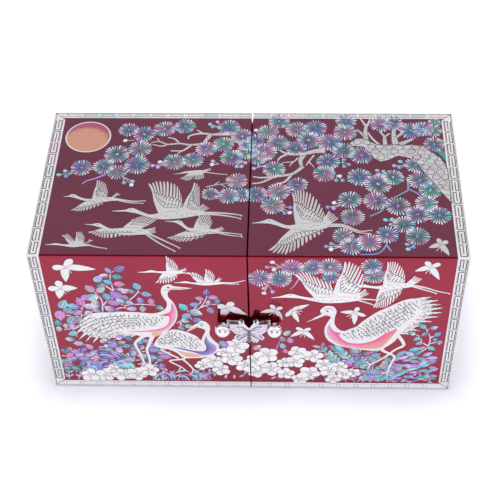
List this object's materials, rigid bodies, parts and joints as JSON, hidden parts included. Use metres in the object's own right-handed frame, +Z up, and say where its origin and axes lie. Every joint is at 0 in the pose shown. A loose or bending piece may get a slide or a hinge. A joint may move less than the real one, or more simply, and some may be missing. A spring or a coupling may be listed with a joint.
{
  "type": "mother-of-pearl jewelry box",
  "caption": "Red lacquered jewelry box with mother-of-pearl inlay, split into hollow halves hinged at the back, with a butterfly clasp and ball knobs.",
  "frame": {"origin": "on the ground, under the centre of the box that bounds the closed part, knobs and hinges included", "axes": "+X to the right along the box's length, +Y from the front to the back, +Z up"},
  "size_m": [0.3, 0.169, 0.147],
  "materials": {
    "lacquered_wood": "polished deep red lacquer",
    "polished_silver": "polished silver plate",
    "hinge_brass": "satin brass",
    "mother_of_pearl": "white mother-of-pearl and abalone shell under clear lacquer"
  },
  "bodies": {
    "left_half": {"box_half_left": "lacquered_wood", "knob_left": "polished_silver", "lower_hinge_leaf_left": "hinge_brass", "lower_hinge_pin": "hinge_brass", "lower_hinge_screw_left_low": "hinge_brass", "lower_hinge_screw_left_high": "hinge_brass", "upper_hinge_leaf_left": "hinge_brass", "upper_hinge_pin": "hinge_brass", "upper_hinge_screw_left_low": "hinge_brass", "upper_hinge_screw_left_high": "hinge_brass"},
    "right_half": {"box_half_right": "lacquered_wood", "knob_right": "polished_silver", "lower_hinge_leaf_right": "hinge_brass", "lower_hinge_screw_right_low": "hinge_brass", "lower_hinge_screw_right_high": "hinge_brass", "upper_hinge_leaf_right": "hinge_brass", "upper_hinge_screw_right_low": "hinge_brass", "upper_hinge_screw_right_high": "hinge_brass"},
    "clasp": {"butterfly_clasp": "polished_silver"}
  },
  "joints": [
    {"name": "book_hinge", "type": "hinge", "parent": "left_half", "child": "right_half", "pos_m": [0, 0.08192, 0.0735], "axis": [0, 0, 1], "range_deg": [0, 180]},
    {"name": "clasp_turn", "type": "hinge", "parent": "left_half", "child": "clasp", "pos_m": [-0.0183, -0.07273, 0.0817], "axis": [0, -1, 0], "range_deg": [0, 80]}
  ]
}
